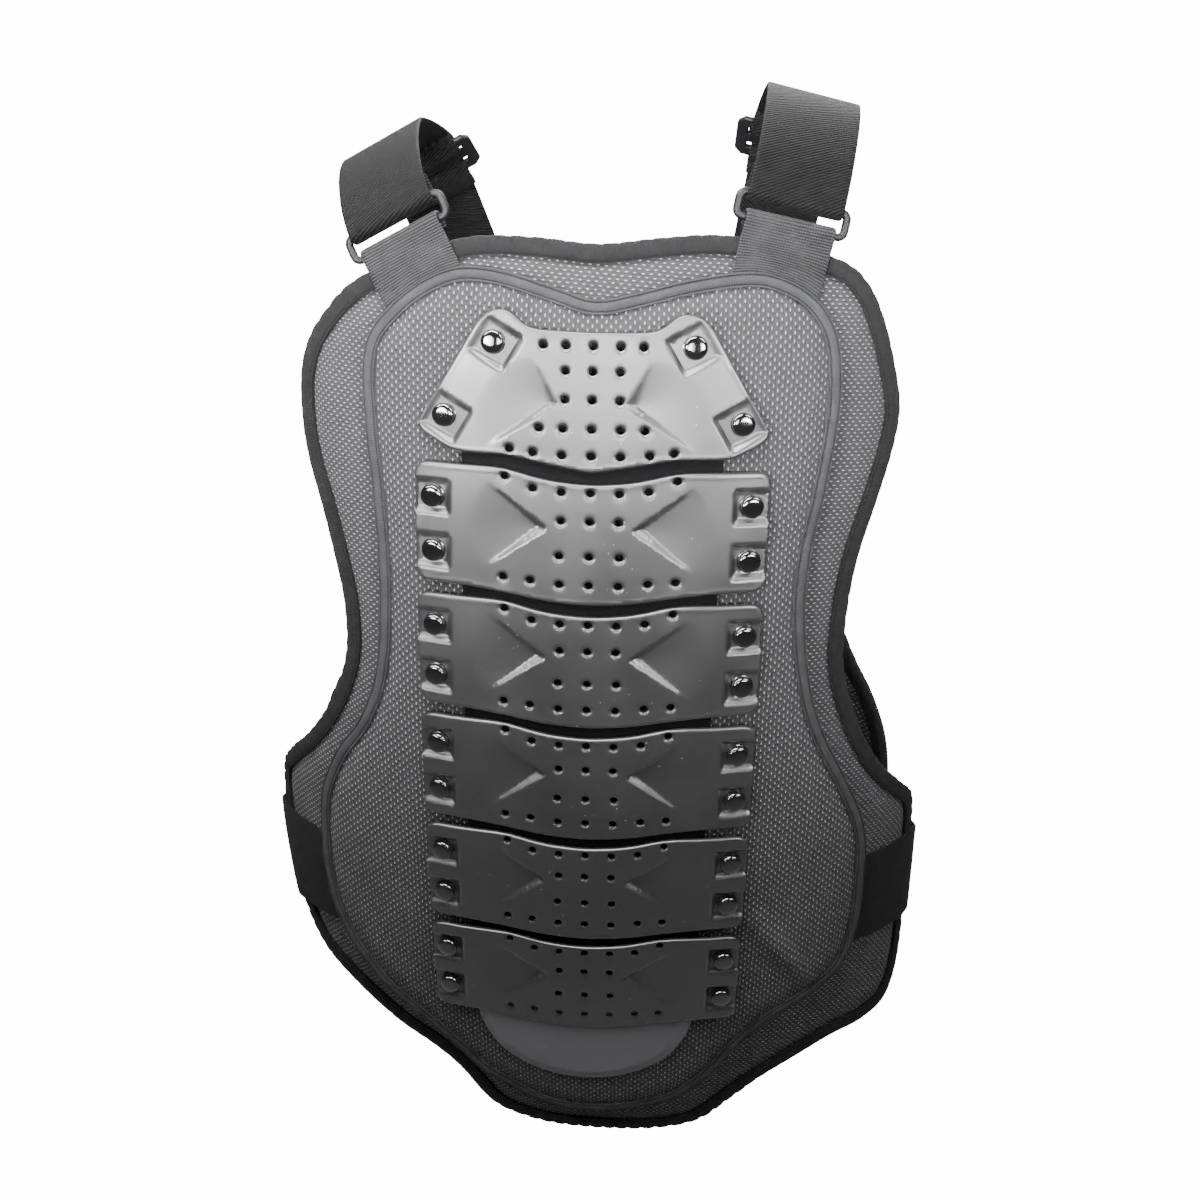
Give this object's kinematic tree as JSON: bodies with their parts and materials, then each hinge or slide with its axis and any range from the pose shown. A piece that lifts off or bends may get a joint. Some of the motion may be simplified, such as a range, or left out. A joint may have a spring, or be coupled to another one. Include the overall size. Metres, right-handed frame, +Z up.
{
  "type": "motorcycle armour vest",
  "caption": "Armour vest with padded mesh front and back panels, snapped chest plates, adjustable webbing shoulder straps and elastic waist bands.",
  "frame": {"origin": "where the wearer's shoulders carry the two straps, midway between them and between front and back", "axes": "+Z up along the torso, the chest plates face -Y, +X is on the right of someone facing the chest plates"},
  "size_m": [0.3828, 0.2034, 0.626],
  "materials": {
    "mesh_fabric": "matte padded air mesh",
    "edge_tape": "matte woven tape",
    "moulded_plastic": "satin moulded",
    "gloss_plastic": "gloss",
    "grey_webbing": "matte ribbed webbing",
    "black_webbing": "matte twill webbing",
    "black_elastic": "matte ribbed elastic"
  },
  "bodies": {
    "root": {"back_binding": "edge_tape", "back_panel": "mesh_fabric", "front_inner_band": "edge_tape", "front_inner_panel": "mesh_fabric", "front_outer_binding": "edge_tape", "front_outer_panel": "mesh_fabric", "plate_1": "moulded_plastic", "plate_1_snap_left_lower": "gloss_plastic", "plate_1_snap_left_upper": "gloss_plastic", "plate_1_snap_right_lower": "gloss_plastic", "plate_1_snap_right_upper": "gloss_plastic", "plate_2": "moulded_plastic", "plate_2_snap_left_lower": "gloss_plastic", "plate_2_snap_left_upper": "gloss_plastic", "plate_2_snap_right_lower": "gloss_plastic", "plate_2_snap_right_upper": "gloss_plastic", "plate_3": "moulded_plastic", "plate_3_snap_left_lower": "gloss_plastic", "plate_3_snap_left_upper": "gloss_plastic", "plate_3_snap_right_lower": "gloss_plastic", "plate_3_snap_right_upper": "gloss_plastic", "plate_4": "moulded_plastic", "plate_4_snap_left_lower": "gloss_plastic", "plate_4_snap_left_upper": "gloss_plastic", "plate_4_snap_right_lower": "gloss_plastic", "plate_4_snap_right_upper": "gloss_plastic", "plate_5": "moulded_plastic", "plate_5_snap_left_lower": "gloss_plastic", "plate_5_snap_left_upper": "gloss_plastic", "plate_5_snap_right_lower": "gloss_plastic", "plate_5_snap_right_upper": "gloss_plastic", "plate_6": "moulded_plastic", "plate_6_snap_left_lower": "gloss_plastic", "plate_6_snap_left_upper": "gloss_plastic", "plate_6_snap_right_lower": "gloss_plastic", "plate_6_snap_right_upper": "gloss_plastic", "plate_tongue_1": "moulded_plastic", "plate_tongue_2": "moulded_plastic", "plate_tongue_3": "moulded_plastic", "plate_tongue_4": "moulded_plastic", "plate_tongue_5": "moulded_plastic", "rear_web_left": "black_webbing", "rear_web_right": "black_webbing", "shoulder_strap_left": "black_webbing", "shoulder_strap_right": "black_webbing", "strap_ring_left": "gloss_plastic", "strap_ring_right": "gloss_plastic", "strap_slider_left": "gloss_plastic", "strap_slider_right": "gloss_plastic", "strap_tab_left": "grey_webbing", "strap_tab_right": "grey_webbing", "tail_plate": "moulded_plastic", "waist_elastic_left": "black_elastic", "waist_elastic_right": "black_elastic"}
  },
  "joints": []
}
